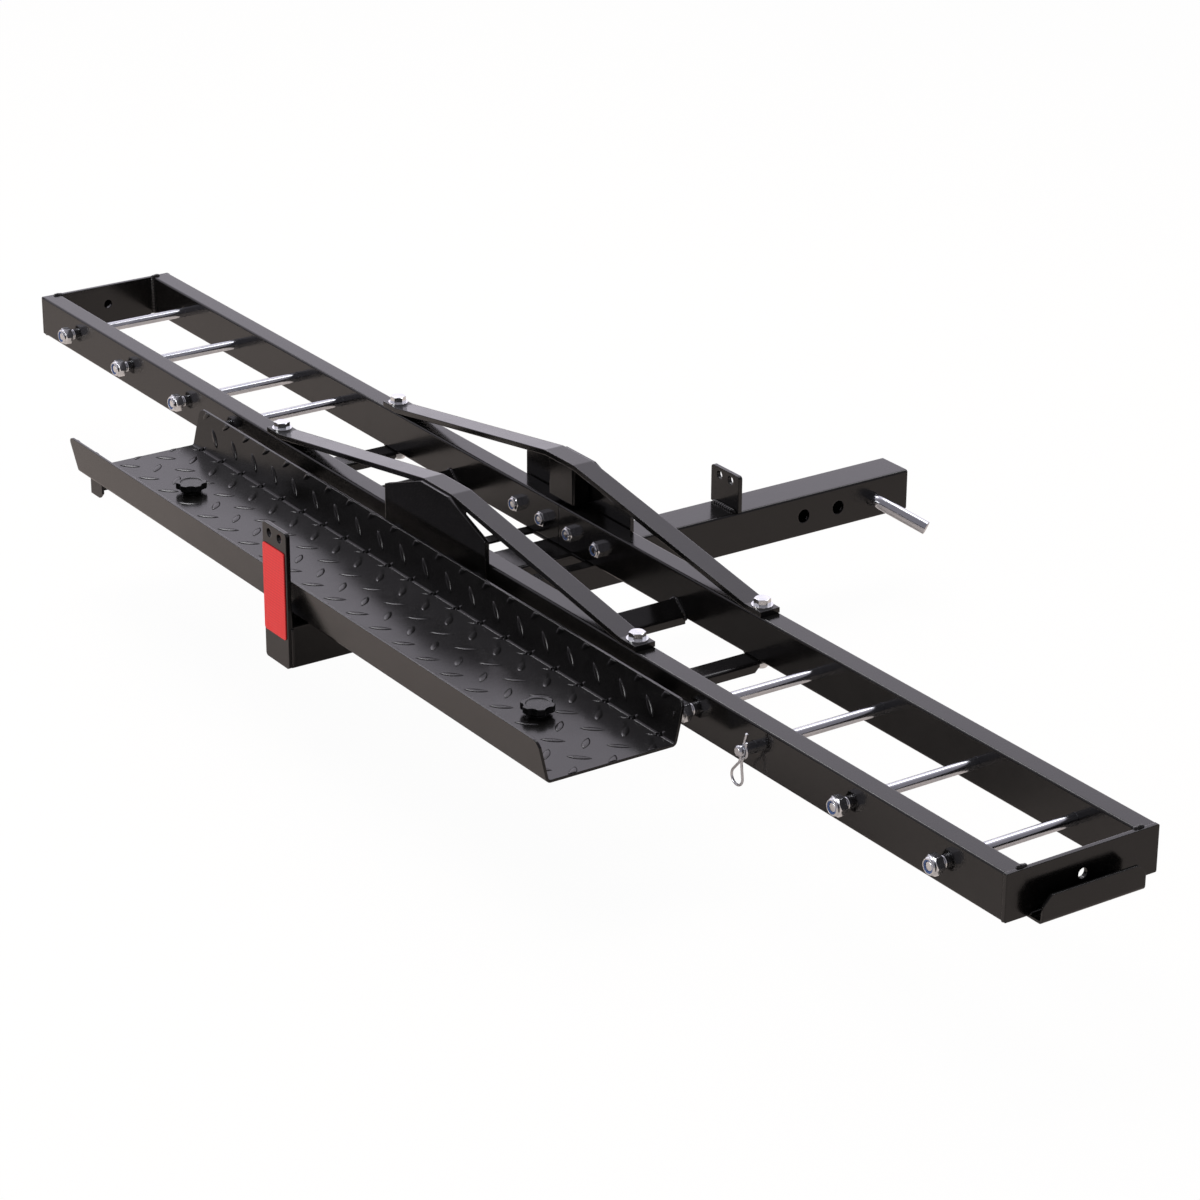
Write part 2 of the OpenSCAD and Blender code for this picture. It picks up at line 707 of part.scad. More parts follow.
module wheel_pin() {
    tip = 2;
    clip_y = track_y - track_w / 2 - wheel_tail * 2 / 3;
    color(zinc) difference() {
        translate([wheel_pin_x, track_y + track_w / 2, rail_mid_z]) rotate([90, 0, 0]) {
            translate([0, 0, -wheel_head_h]) cylinder(d = wheel_head_d, h = wheel_head_h);
            cylinder(d = rung_d, h = track_w + wheel_tail - tip);
            translate([0, 0, track_w + wheel_tail - tip]) cylinder(d1 = rung_d, d2 = rung_d * 0.75, h = tip);
        }
        translate([wheel_pin_x, clip_y, rail_mid_z]) rotate([0, wheel_clip_lean, 0])
            cylinder(d = wheel_clip_wire + thread_clear, h = 2 * rung_d, center = true);
    }
}

module wheel_clip() {
    clip_y = track_y - track_w / 2 - wheel_tail * 2 / 3;
    color(zinc) translate([wheel_pin_x, clip_y, rail_mid_z]) rotate([0, wheel_clip_lean, 0])
        rotate([0, -90, -90]) spring_clip(rung_d, wheel_clip_wire);
}

// Ramp: a tread plate with two side walls that lean outwards
module ramp() {
    half = [[ramp_flat, ramp_bend_r, ramp_rise], [ramp_wall, 0, 0]];
    color(steel_black) difference() {
        intersection() {
            translate([0, ramp_y, rail_z]) along_x(-ramp_len / 2, ramp_len) folded_pair(half, ramp_t);
            along_y(ramp_y - ramp_top_w, 2 * ramp_top_w)
                polygon(concat(
                    [[-ramp_len / 2, rail_z - 1], [ramp_len / 2, rail_z - 1]],
                    nose_corner(1), nose_corner(-1)));
        }
        for (side = [-1, 1])
            at_knob(side, rail_z - 1) cylinder(d = stud_d + 1, h = ramp_t + 2);
    }
}

// Points of the round top corner at one end of the ramp's side wall
function nose_corner(side) =
    let (n = 8, x = side * (ramp_len / 2 - ramp_nose_r), z = rail_z + ramp_h - ramp_nose_r)
    [for (k = [0:n])
        let (a = 90 * (side > 0 ? k / n : 1 - k / n))
        [x + side * ramp_nose_r * cos(a), z + ramp_nose_r * sin(a)]];

// Outline of one tread lug: two arcs that meet in a point at each end
function lug(n = 3) =
    let (r = (tread_len * tread_len + tread_w * tread_w) / 4 / tread_w, half = asin(tread_len / 2 / r))
    [for (side = [1, -1], k = [0:n - 1])
        let (a = side * half * (2 * k / n - 1))
        [r * sin(a), side * (r * cos(a) - r + tread_w / 2)]];

// Lugs on a strip of the flat sheet, between two distances from its middle line
module lugs(from, to, half_x, side) {
    columns = ceil(half_x / tread_pitch);
    intersection() {
        translate([-half_x, from]) square([2 * half_x, to - from]);
        for (set = [0, 1], i = [-columns:columns], j = [-3:3])
            let (v = ((j + set / 2 - 0.45) * tread_pitch) * side)
                if (v > from - tread_len / 2 && v < to + tread_len / 2)
                    translate([(i + set / 2 - 0.05) * tread_pitch, v])
                        rotate((set == 0 ? 45 : -45) * side) polygon(lug());
    }
}

// Raised tread rolled into the upper side of the ramp's floor and walls
module ramp_tread() {
    bend = (ramp_bend_r + ramp_t / 2) * ramp_rise * PI / 180;
    foot = ramp_flat + bend;
    color(steel_black) translate([0, ramp_y, rail_z]) {
        translate([0, 0, ramp_t]) linear_extrude(tread_h) difference() {
            lugs(-ramp_flat, ramp_flat, ramp_len / 2 - 1, 1);
            for (side = [-1, 1])
                translate([side * support_set, 0]) circle(d = knob_washer_d + 4);
        }
        for (side = [-1, 1])
            mirror([0, side < 0 ? 1 : 0, 0])
                translate([0, ramp_flat + ramp_bend_r * sin(ramp_rise),
                           ramp_t + ramp_bend_r * (1 - cos(ramp_rise))])
                    rotate([ramp_rise, 0, 0]) translate([0, -foot, 0]) linear_extrude(tread_h)
                        lugs(foot + 2, foot + ramp_wall - 2, ramp_len / 2 - ramp_nose_r, side);
    }
}

// Hook welded under the left end of the ramp: a lip with a cheek at each end
module ramp_hook() {
    x0 = -ramp_len / 2 + hook_set;
    y0 = ramp_y - ramp_foot_w / 2 + ramp_bend_r + ramp_t;
    width = ramp_foot_w - 2 * (ramp_bend_r + ramp_t);
    chamfer = hook_len / 4;
    cheek = [[x0, rail_z], [x0, rail_z - hook_depth], [x0 + hook_len - chamfer, rail_z - hook_depth],
             [x0 + hook_len, rail_z - hook_depth + chamfer], [x0 + hook_len, rail_z]];
    color(steel_black) {
        translate([x0, y0, rail_z - hook_depth]) cube([hook_t, width, hook_depth]);
        translate([x0, y0, rail_z - hook_t]) cube([hook_len, width, hook_t]);
        for (y = [y0, y0 + width - hook_t])
            along_y(y, hook_t) polygon(cheek);
    }
}

// Star knob: scalloped rim over a round hub, with a dished top
module knob(side) {
    scallop_r = knob_d * 0.22;
    dish = 1;
    star = knob_star_h;
    turned = side > 0 ? knob_turn : 0;
    color(plastic_black) at_knob(side, ramp_floor_z + knob_washer_t) rotate(turned) difference() {
        union() {
            cylinder(d1 = knob_hub_d, d2 = knob_hub_d + 4, h = knob_hub_h);
            translate([0, 0, knob_hub_h]) difference() {
                intersection() {
                    cylinder(d = knob_d, h = star);
                    cylinder(d1 = knob_d - 2, d2 = knob_d - 2 + 2 * star, h = star);
                    cylinder(d1 = knob_d - 1.2 + 2 * star, d2 = knob_d - 1.2, h = star);
                }
                for (i = [0:knob_lobes - 1])
                    rotate(360 / knob_lobes * (i + 0.5)) translate([knob_d / 2 + scallop_r * 0.6, 0, -1])
                        cylinder(r = scallop_r, h = star + 2);
                translate([0, 0, star - dish])
                    cylinder(d1 = knob_d * 0.66, d2 = knob_d * 0.72, h = dish + 0.1);
            }
        }
        translate([0, 0, -1]) cylinder(d = stud_d + 0.1, h = knob_hub_h + star / 2 + 1);
    }
}

// Steel stud moulded into the knob and screwed into the weld nut
module knob_stud(side) {
    below = ramp_t + support_t + stud_d * 0.8 + 2;
    top = knob_washer_t + knob_hub_h + knob_star_h / 2;
    tip = 1;
    color(zinc) at_knob(side, ramp_floor_z - below) {
        cylinder(d1 = stud_d - 2 * tip, d2 = stud_d, h = tip);
        translate([0, 0, tip]) cylinder(d = stud_d, h = below + top - tip);
    }
}

module knob_washer(side) {
    color(plastic_black) at_knob(side, ramp_floor_z) difference() {
        cylinder(d = knob_washer_d, h = knob_washer_t);
        translate([0, 0, -1]) cylinder(d = stud_d + bolt_clear, h = knob_washer_t + 2);
    }
}

hitch_bar();
saddle_plate();
light_bracket();
rear_plate();
reflector();
rail(-1, -1);  // rail_front_left
rail(1, -1);  // rail_front_right
rail(-1, 1);  // rail_back_left
rail(1, 1);  // rail_back_right
end_plate(-1);  // end_plate_left
end_plate(1);  // end_plate_right
end_hook(-1);  // end_hook_left
end_hook(1);  // end_hook_right
gusset(-1);  // gusset_front
gusset(1);  // gusset_back
spacer(-1);  // spacer_front
spacer(1);  // spacer_back
arch_strap(-1);  // arch_strap_front
arch_strap(1);  // arch_strap_back
arch_bolts();
arch_washers();
arch_nuts();
splice_bolts();
splice_nuts();
splice_nut_rings();
rung_bolts();
rung_nuts();
rung_nut_rings();
cross_tie(-1);  // cross_tie_left
cross_tie(1);  // cross_tie_right
support_bar(-1);  // support_bar_left
support_bar(1);  // support_bar_right
knob_weld_nuts();
hitch_pin();
hitch_clip();
wheel_pin();
wheel_clip();
ramp();
ramp_tread();
ramp_hook();
knob(-1);  // knob_left
knob(1);  // knob_right
knob_stud(-1);  // knob_stud_left
knob_stud(1);  // knob_stud_right
knob_washer(-1);  // knob_washer_left
knob_washer(1);  // knob_washer_right
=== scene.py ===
import json
import math
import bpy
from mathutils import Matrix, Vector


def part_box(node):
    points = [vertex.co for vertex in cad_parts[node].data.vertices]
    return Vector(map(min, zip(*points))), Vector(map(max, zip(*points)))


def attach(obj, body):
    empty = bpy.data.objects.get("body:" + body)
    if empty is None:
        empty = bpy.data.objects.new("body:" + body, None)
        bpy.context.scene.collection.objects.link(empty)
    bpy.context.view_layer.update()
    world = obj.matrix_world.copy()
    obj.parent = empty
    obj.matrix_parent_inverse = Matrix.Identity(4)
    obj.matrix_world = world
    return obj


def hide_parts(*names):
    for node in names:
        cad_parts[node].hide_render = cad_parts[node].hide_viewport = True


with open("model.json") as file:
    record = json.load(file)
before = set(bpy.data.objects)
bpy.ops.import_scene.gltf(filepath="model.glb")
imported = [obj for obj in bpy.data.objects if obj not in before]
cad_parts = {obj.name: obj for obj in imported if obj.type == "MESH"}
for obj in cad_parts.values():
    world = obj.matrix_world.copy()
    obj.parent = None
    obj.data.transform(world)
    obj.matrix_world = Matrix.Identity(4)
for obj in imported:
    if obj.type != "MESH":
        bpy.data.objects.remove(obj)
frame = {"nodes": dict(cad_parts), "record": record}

from types import SimpleNamespace

import bmesh
import bpy
from mathutils import Matrix, Vector

MM = 0.001
X_AXIS = Vector((1, 0, 0))
Z_AXIS = Vector((0, 0, 1))
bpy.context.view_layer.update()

# Camera, fitted to points of the photograph whose places on the carrier are known
IMAGE_SIDE = 1200
LENS_PX = 3737.9
CENTRE_PX = (637.64, 590.57)
CAMERA_AT = Vector((3.2385, -2.5794, 1.6342))
CAMERA_AZIMUTH = math.radians(55.090)
CAMERA_ELEVATION = math.radians(23.124)
CAMERA_ROLL = math.radians(0.580)
SENSOR_MM = 36.0

# The middle parts of a noise's values, which are stretched over a range or a blend of colours
NOISE_SPAN = (0.3, 0.7)
COLOUR_SPAN = (0.35, 0.65)

# Rays that find the edges to be rounded
BEVEL_SAMPLES = 8

# Prismatic film of the reflector: pitch of its grid and how much of it the lines take
FILM_PITCH = 3.2 * MM
FILM_LINE_SHARE = 0.22

# Studio that gloss mirrors: brighter beyond the left end of the track, and brightest at the horizon
BRIGHT_SIDE = (-0.80, 0.50, 0.33)
FADE_SPAN = (0.2, 1.0)
FADE_LEVELS = (0.25, 1.14)
HORIZON_SPAN = (0.0, 0.3)
HORIZON_LEVELS = (1.35, 1.0)
STUDIO_TINT = (0.99, 0.94, 1.05)
# Its level where it lights matt surfaces
FILL_LEVEL = 0.33
# Point that the lamps face
MIDDLE = Vector((0, -0.5, 0.05))

# The floor lies a hand's width below the carrier, which hangs from its bar
FLOOR_Z = -0.13
FLOOR_HALF = 14
FLOOR_GLOW = 1.03
FLOOR_SEEN_SHARE = 0.94
FLOOR_MIRRORED_SHARE = 0.05

# Weld beads: corners of a section and the share of it that is left at an end
BEAD_CORNERS = 10
BEAD_END_SHARE = 0.15
# Sections to a ripple, and its depth as a share of the bead's radius
RIPPLE_STEPS = 6
RIPPLE_DEPTH = 0.16
# Lengths of the beads on top of the rails' ends and along the hooks, in millimetres
RAIL_END_BEAD_LEN = 10
HOOK_BEAD_LEN = 22

# How far the cross ties fall for each millimetre away from their ridge
TIE_FALL = 0.84

# Width of a nylon ring and of a bolt's end for each millimetre of the bolt's width
RING_SHARE = 1.14
TIP_SHARE = 0.98
TIP_CORNERS = 24
# Outline of a bolt's end, from its flat face over its chamfer to its foot: shares of its radius
# and of the ring's depth
TIP_OUTLINE = ((0.25, 0.93), (0.64, 0.93), (0.70, 0.91), (0.82, 0.80), (0.86, 0.66), (0.86, -0.1))

# Thread of the rungs' bolts, in millimetres
THREAD_PITCH = 1.75
THREAD_ROOT_R = 5.95
THREAD_CREST_R = 6.5
THREAD_CORNERS = 32

# Folded sheet of the ramp, in millimetres, and what its lugs keep clear of its ends and rims
SHEET_T = 3
SHEET_BEND_R = 3
SHEET_FOOT_W = 154.5
SHEET_NOSE_R = 9
SHEET_END_GAP = 1
SHEET_RIM_GAP = 1.5

# Lugs of the tread, in millimetres
LUG_LEN = 27
LUG_W = 8.5
LUG_H = 0.8
LUG_SINK = 0.15
LUG_PITCH = 47.6
# Where their pattern starts, in pitches, and how far it runs
LUG_ORIGIN = (-0.05, -0.45)
LUG_COLUMNS = range(-12, 12)
LUG_ROWS = range(-3, 4)
# Height on the walls for 1 on the floor, and the share of it that is lost at a bend
LUG_WALL_SHARE = 1.6
LUG_BEND_LOSS = 0.8
# How many lengths of the bend from its middle that loss reaches
LUG_BEND_REACH = 1.8
# Sections along a lug, and places across it as shares of half its width
LUG_STEPS = 14
LUG_ACROSS = (-1, -0.88, -0.62, 0, 0.62, 0.88, 1)
# Bare ring round a knob's washer, and the ring in which the lugs rise to their height
WASHER_GAP = 0.5
WASHER_FADE = 3


def in_mm(box):
    """The two corners of a box in metres as vectors in millimetres."""
    return [Vector(corner) / MM for corner in box]


def within(value):
    """The value, held between 0 and 1."""
    return max(0, min(1, value))


def add_node(tree, kind, **settings):
    """A shader node with some of its settings and unlinked inputs."""
    made = tree.nodes.new(kind)
    for key, value in settings.items():
        if key in made.inputs:
            made.inputs[key].default_value = value
        else:
            setattr(made, key, value)
    return made


def new_material(name, **inputs):
    """A node material with some inputs of its principled shader; returns it with its tree."""
    material = bpy.data.materials.new(name)
    material.use_nodes = True
    tree = material.node_tree
    shader = tree.nodes["Principled BSDF"]
    for key, value in inputs.items():
        shader.inputs[key.replace("_", " ")].default_value = value
    return material, tree


def noise(tree, scale, detail=2.0):
    """Noise in the piece's own metres; scale is in waves to the metre."""
    place = tree.nodes.new("ShaderNodeTexCoord")
    made = add_node(tree, "ShaderNodeTexNoise", Scale=scale, Detail=detail)
    tree.links.new(place.outputs["Object"], made.inputs["Vector"])
    return made.outputs["Fac"]


def map_range(tree, value, given, wanted):
    """Maps a value from one range to another and holds it there."""
    made = tree.nodes.new("ShaderNodeMapRange")
    made.inputs["From Min"].default_value, made.inputs["From Max"].default_value = given
    made.inputs["To Min"].default_value, made.inputs["To Max"].default_value = wanted
    tree.links.new(value, made.inputs["Value"])
    return made.outputs["Result"]


def blend_colours(tree, value, first, second):
    """Colour that runs from first to second with a 0 to 1 value."""
    made = add_node(tree, "ShaderNodeValToRGB")
    for element, position, colour in zip(made.color_ramp.elements, COLOUR_SPAN, (first, second)):
        element.position = position
        element.color = (*colour, 1)
    tree.links.new(value, made.inputs["Fac"])
    return made.outputs["Color"]


def vary_colour(tree, value, first, second):
    """Lets the surface's colour run from first to second with a value."""
    shader = tree.nodes["Principled BSDF"]
    tree.links.new(blend_colours(tree, value, first, second), shader.inputs["Base Color"])


def vary_roughness(tree, value, smooth, rough):
    """Lets the surface's roughness wander between two levels with a noise."""
    shader = tree.nodes["Principled BSDF"]
    tree.links.new(map_range(tree, value, NOISE_SPAN, (smooth, rough)), shader.inputs["Roughness"])


def soften_edges(tree, radius, height=None, depth=0.0):
    """Rounded edges, with an optional bump of that depth in metres on top."""
    shader = tree.nodes["Principled BSDF"]
    bevel = add_node(tree, "ShaderNodeBevel", samples=BEVEL_SAMPLES, Radius=radius)
    normal = bevel.outputs["Normal"]
    if height is not None:
        bump = add_node(tree, "ShaderNodeBump", Strength=1.0, Distance=depth)
        tree.links.new(height, bump.inputs["Height"])
        tree.links.new(normal, bump.inputs["Normal"])
        normal = bump.outputs["Normal"]
    tree.links.new(normal, shader.inputs["Normal"])


def powder_coat(name, smooth, rough, edge, peel):
    """Semi-gloss black powder coat, with its edges' radius and the depth of its orange peel in mm."""
    material, tree = new_material(name, IOR=1.5, Specular_IOR_Level=0.5)
    vary_colour(tree, noise(tree, 60, 4.0), (0.0030, 0.0028, 0.0028), (0.0050, 0.0047, 0.0047))
    vary_roughness(tree, noise(tree, 25, 3.0), smooth, rough)
    soften_edges(tree, edge * MM, noise(tree, 420, 1.0), peel * MM)
    return material


def zinc():
    """Bright zinc plate, slightly cloudy."""
    material, tree = new_material("zinc_plate", Metallic=1.0)
    vary_colour(tree, noise(tree, 90, 3.0), (0.76, 0.78, 0.80), (0.90, 0.91, 0.92))
    vary_roughness(tree, noise(tree, 160), 0.10, 0.22)
    soften_edges(tree, 0.35 * MM, noise(tree, 700), 0.008 * MM)
    return material


def bright_rod():
    """Bright drawn rod of the rungs, the pins and their clips."""
    material, tree = new_material("bright_rod", Metallic=1.0)
    vary_colour(tree, noise(tree, 50), (0.60, 0.62, 0.66), (0.68, 0.69, 0.72))
    vary_roughness(tree, noise(tree, 60), 0.14, 0.20)
    soften_edges(tree, 1.6 * MM)
    return material


def nylon():
    """Blue nylon of the lock nuts' rings."""
    material, tree = new_material("nylon_ring", Roughness=0.42)
    vary_colour(tree, noise(tree, 300), (0.05, 0.10, 0.26), (0.07, 0.13, 0.32))
    soften_edges(tree, 0.2 * MM)
    return material


def knob_plastic():
    """Satin black moulded plastic."""
    material, tree = new_material("knob_plastic", IOR=1.5)
    vary_colour(tree, noise(tree, 200), (0.007, 0.007, 0.0075), (0.011, 0.011, 0.012))
    vary_roughness(tree, noise(tree, 120), 0.24, 0.34)
    soften_edges(tree, 0.8 * MM, noise(tree, 1200), 0.01 * MM)
    return material


def grid_lines(tree, pitch, share):
    """1 on the lines of a square grid in the piece's XZ plane and 0 between them."""
    place = tree.nodes.new("ShaderNodeTexCoord")
    split = tree.nodes.new("ShaderNodeSeparateXYZ")
    tree.links.new(place.outputs["Object"], split.inputs["Vector"])
    both = add_node(tree, "ShaderNodeMath", operation="MAXIMUM")
    for axis, wanted in zip("XZ", both.inputs):
        away = add_node(tree, "ShaderNodeMath", operation="PINGPONG")
        tree.links.new(split.outputs[axis], away.inputs[0])
        away.inputs[1].default_value = pitch / 2
        near = add_node(tree, "ShaderNodeMath", operation="LESS_THAN")
        tree.links.new(away.outputs[0], near.inputs[0])
        near.inputs[1].default_value = pitch * share / 2
        tree.links.new(near.outputs[0], wanted)
    return both.outputs[0]


def reflector_red():
    """Prismatic red film: a fine square grid below a clear face."""
    material, tree = new_material("reflector_film", Roughness=0.35, Specular_IOR_Level=0.25)
    lines = grid_lines(tree, FILM_PITCH, FILM_LINE_SHARE)
    vary_colour(tree, lines, (0.95, 0.05, 0.052), (0.74, 0.035, 0.04))
    return material


def paint(material, *names):
    """Gives CAD nodes a material in place of the one they came with."""
    for name in names:
        mesh = frame["nodes"][name].data
        mesh.materials.clear()
        mesh.materials.append(material)


def paint_by_slot():
    """Paints every CAD node by the record's material slot; returns the finishes."""
    finish = {
        "tread_coat": powder_coat("tread_coat", 0.17, 0.22, 1.0, 0.005),
        "powder_coat": powder_coat("powder_coat", 0.13, 0.20, 1.5, 0.010),
        "zinc_plate": zinc(),
        "nylon_ring": nylon(),
        "knob_plastic": knob_plastic(),
        "reflector_film": reflector_red(),
    }
    for part in frame["record"]["subparts"]:
        paint(finish[part["material_slot"]], part["node"])
    paint(bright_rod(), "rung_bolts", "hitch_pin", "wheel_pin", "hitch_clip", "wheel_clip")
    paint(finish["tread_coat"], "ramp", "ramp_hook")
    return finish


def mesh_piece(name, mesh, body, material):
    """A smooth piece from a bmesh, which rides on a body."""
    bmesh.ops.recalc_face_normals(mesh, faces=mesh.faces[:])
    for face in mesh.faces:
        face.smooth = True
    data = bpy.data.meshes.new(name)
    mesh.to_mesh(data)
    mesh.free()
    data.materials.append(material)
    made = bpy.data.objects.new(name, data)
    bpy.context.scene.collection.objects.link(made)
    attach(made, body)
    return made


def circle(centre, radius, side, other, corners):
    """Points of a circle round a centre, in the plane of two directions."""
    points = []
    for k in range(corners):
        angle = math.tau * k / corners
        points.append(centre + radius * (math.cos(angle) * side + math.sin(angle) * other))
    return points


def bridge(mesh, first, second):
    """Closes the band between two rings of as many points."""
    count = len(first)
    for i in range(count):
        j = (i + 1) % count
        mesh.faces.new((first[i], first[j], second[j], second[i]))


def add_skin(mesh, rings):
    """Closed skin over rings of points, with a flat cap on the first and the last."""
    rings = [[mesh.verts.new(point) for point in ring] for ring in rings]
    for first, second in zip(rings, rings[1:]):
        bridge(mesh, first, second)
    mesh.faces.new(rings[0])
    mesh.faces.new(rings[-1])


def add_bead(mesh, start, end, width):
    """Rippled weld bead between two points, in millimetres."""
    start, end = Vector(start) * MM, Vector(end) * MM
    along = end - start
    side = along.orthogonal().normalized()
    other = along.cross(side).normalized()
    radius = width / 2 * MM
    ripples = max(3, round(along.length / radius))
    steps = RIPPLE_STEPS * ripples
    rings = []
    for i in range(steps + 1):
        share = i / steps
        nearest_end = min(share, 1 - share) * along.length / radius
        taper = math.sqrt(min(1, BEAD_END_SHARE + (1 - BEAD_END_SHARE) * nearest_end))
        swell = 1 - RIPPLE_DEPTH * (1 - abs(math.sin(math.pi * ripples * share)))
        rings.append(circle(start + share * along, radius * taper * swell, side, other, BEAD_CORNERS))
    add_skin(mesh, rings)


def weld_end(mesh, side, front, back):
    """Beads of an end plate, in the rails' inner corners and on their ends, and of the hook on it."""
    low_z, high_z = front[0].z, front[1].z
    plate = in_mm(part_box("end_plate_right"))
    hook = in_mm(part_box("end_hook_right"))
    end_x = side * plate[0].x
    outer_x = side * plate[1].x
    for y in (front[1].y, back[0].y):
        add_bead(mesh, (end_x, y, low_z), (end_x, y, high_z + 2), width=8)
    for y, outwards in ((front[1].y, -RAIL_END_BEAD_LEN), (back[0].y, RAIL_END_BEAD_LEN)):
        add_bead(mesh, (end_x, y, high_z), (end_x, y + outwards, high_z), width=6)
    for y0, y1 in ((front[0].y, front[1].y), (back[0].y, back[1].y)):
        add_bead(mesh, (end_x, y0 + 1, low_z), (end_x, y1, low_z), width=4)
    for y, inwards in ((hook[0].y, HOOK_BEAD_LEN), (hook[1].y, -HOOK_BEAD_LEN)):
        add_bead(mesh, (outer_x, y, low_z + 1), (outer_x, y + inwards, low_z + 1), width=4.5)


def weld_tie(mesh, side):
    """Beads of a cross tie on the rails' inner faces, over its ridge and down to its feet."""
    low, high = in_mm(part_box("cross_tie_right"))
    ridge_x = (low.x + high.x) / 2
    for y in (low.y, high.y):
        for x in (low.x, high.x):
            shoulder_z = high.z - abs(x - ridge_x) * TIE_FALL
            add_bead(mesh, (side * ridge_x, y, high.z), (side * x, y, shoulder_z), width=7)
            add_bead(mesh, (side * x, y, shoulder_z), (side * x, y, low.z + 4), width=6)


def weld_support(mesh, side, front, back):
    """Beads of a support bar, under the rails."""
    low_z = front[0].z
    support = in_mm(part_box("support_bar_right"))
    for y0, y1 in ((front[0].y, front[1].y), (back[0].y, back[1].y)):
        for x in (support[0].x, support[1].x):
            add_bead(mesh, (side * x, y0 + 1, low_z), (side * x, y1 - 1, low_z), width=4)


def weld_bar(mesh, side, bar):
    """Beads of the saddle plate along one side of the bar, and of the rear plate up that side."""
    saddle = in_mm(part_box("saddle_plate"))
    rear_y = in_mm(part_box("rear_plate"))[1].y
    x = side * bar.x
    add_bead(mesh, (x, saddle[0].y + 4, bar.z), (x, saddle[1].y - 4, bar.z), width=5)
    add_bead(mesh, (x, rear_y, 4 - bar.x), (x, rear_y, bar.z - 3), width=4)


def weld_carrier(material):
    """Weld beads of the frame, each laid along the joint that it closes."""
    front = in_mm(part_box("rail_front_left"))
    back = in_mm(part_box("rail_back_left"))
    bar = in_mm(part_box("hitch_bar"))[1]
    mesh = bmesh.new()
    for side in (-1, 1):
        weld_end(mesh, side, front, back)
        weld_tie(mesh, side)
        weld_support(mesh, side, front, back)
        weld_bar(mesh, side, bar)
    for corner in in_mm(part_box("light_bracket")):
        add_bead(mesh, (3 - bar.x, corner.y, bar.z), (bar.x - 3, corner.y, bar.z), width=8)
    mesh_piece("weld_beads", mesh, "carrier", material)


def weld_ramp(material):
    """Weld beads between the ramp and the hook under its left end."""
    low, high = in_mm(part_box("ramp_hook"))
    mesh = bmesh.new()
    add_bead(mesh, (low.x, low.y + 4, high.z), (low.x, high.y - 4, high.z), width=4)
    for y in (low.y, high.y):
        add_bead(mesh, (low.x + 3, y, high.z), (high.x - 3, y, high.z), width=4)
    mesh_piece("ramp_weld_beads", mesh, "ramp", material)


def islands(name):
    """Lowest and highest corners, in metres, of each separate solid of a CAD node, in one fixed order."""
    mesh = bmesh.new()
    mesh.from_mesh(frame["nodes"][name].data)
    bmesh.ops.remove_doubles(mesh, verts=mesh.verts[:], dist=0.01 * MM)
    left = set(mesh.verts)
    corners = []
    while left:
        front = [left.pop()]
        group = []
        while front:
            vert = front.pop()
            group.append(vert.co)
            for edge in vert.link_edges:
                other = edge.other_vert(vert)
                if other in left:
                    left.remove(other)
                    front.append(other)
        corners.append([Vector(map(pick, zip(*group))) for pick in (min, max)])
    mesh.free()
    return sorted(corners, key=lambda box: tuple(box[0]))


def bolt_tips(name, nuts, rings, material):
    """Chamfered ends of the bolts, which show inside the nylon rings of their lock nuts."""
    mesh = bmesh.new()
    nut_middles = [(low + high) / 2 for low, high in islands(nuts)]
    for low, high in islands(rings):
        middle = (low + high) / 2
        depth = high.y - low.y
        bolt_r = (high.x - low.x) / 2 / RING_SHARE * TIP_SHARE
        nearest = min(nut_middles, key=lambda nut: (nut - middle).length)
        outwards = math.copysign(1, middle.y - nearest.y)
        foot_y = middle.y - outwards * depth / 2
        turned = []
        for radius, rise in TIP_OUTLINE:
            centre = Vector((middle.x, foot_y + outwards * rise * depth, middle.z))
            turned.append(circle(centre, radius * bolt_r, X_AXIS, Z_AXIS, TIP_CORNERS))
        add_skin(mesh, turned)
    mesh_piece(name, mesh, "carrier", material)


def thread_ridges(material):
    """Thread of the rungs' bolts, between the front rail and the lock nuts."""
    mesh = bmesh.new()
    face_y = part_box("rail_front_left")[0][1]
    for low, high in islands("rung_nuts"):
        middle = (low + high) / 2
        half_turns = 2 * round((face_y - high.y) / (THREAD_PITCH * MM))
        turned = []
        for i in range(half_turns + 1):
            centre = Vector((middle.x, high.y + i * (face_y - high.y) / half_turns, middle.z))
            radius = (THREAD_CREST_R if i % 2 else THREAD_ROOT_R) * MM
            turned.append(circle(centre, radius, X_AXIS, Z_AXIS, THREAD_CORNERS))
        add_skin(mesh, turned)
    made = mesh_piece("rung_threads", mesh, "carrier", material)
    for face in made.data.polygons:
        face.use_smooth = False


def add_lug(mesh, x, v, turn):
    """One lug of the tread on the flat sheet: a low closed lens with its height in z."""
    arc_r = (LUG_LEN ** 2 + LUG_W ** 2) / 4 / LUG_W
    centre = Vector((x, v, 0))
    turned = Matrix.Rotation(turn, 3, "Z")
    rows = []
    for i in range(1, LUG_STEPS):
        share = 2 * i / LUG_STEPS - 1
        half_w = math.sqrt(arc_r ** 2 - (LUG_LEN / 2 * share) ** 2) - arc_r + LUG_W / 2
        row = []
        for s in LUG_ACROSS:
            rise = (LUG_H + LUG_SINK) * (1 - s ** 4) * (1 - share ** 6)
            place = Vector((LUG_LEN / 2 * share, half_w * s, rise - LUG_SINK))
            row.append(mesh.verts.new(turned @ place + centre))
        rows.append(row)
    tips = []
    for end in (-1, 1):
        tips.append(mesh.verts.new(turned @ Vector((end * LUG_LEN / 2, 0, -LUG_SINK)) + centre))
    for first, second in zip(rows, rows[1:]):
        bridge(mesh, first, second)
    for tip, row in zip(tips, (rows[0], rows[-1])):
        for i in range(len(row)):
            mesh.faces.new((tip, row[i], row[(i + 1) % len(row)]))


